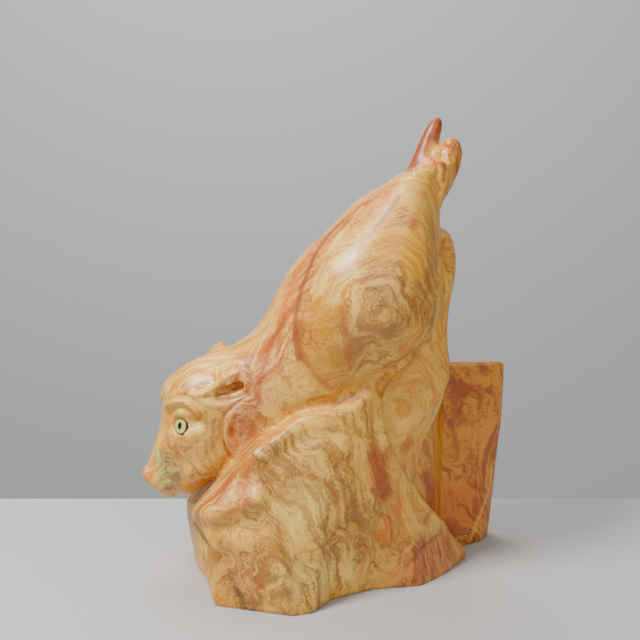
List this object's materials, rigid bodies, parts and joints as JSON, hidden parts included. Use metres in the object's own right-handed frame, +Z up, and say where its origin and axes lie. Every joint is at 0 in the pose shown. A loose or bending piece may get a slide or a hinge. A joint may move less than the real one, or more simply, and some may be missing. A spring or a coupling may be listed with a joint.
{
  "type": "big cat sculpture",
  "caption": "Polished veined marble carving of a panther coming head first down a rock outcrop, with inset glass eyes, on a flat base it stands on.",
  "frame": {"origin": "middle of the footprint's box, on the ground the carving stands on", "axes": "+Z up; -X the way the cat faces and climbs down; -Y its left side, the side in the picture"},
  "size_m": [0.4084, 0.221, 0.501],
  "materials": {
    "marble": "polished, orange and cream with ochre, red and grey veins",
    "eye_glass": "gloss, yellow-green iris with a dark slit pupil"
  },
  "bodies": {
    "root": {"marble_panther": "marble", "eye_left": "eye_glass", "eye_right": "eye_glass"}
  },
  "joints": []
}
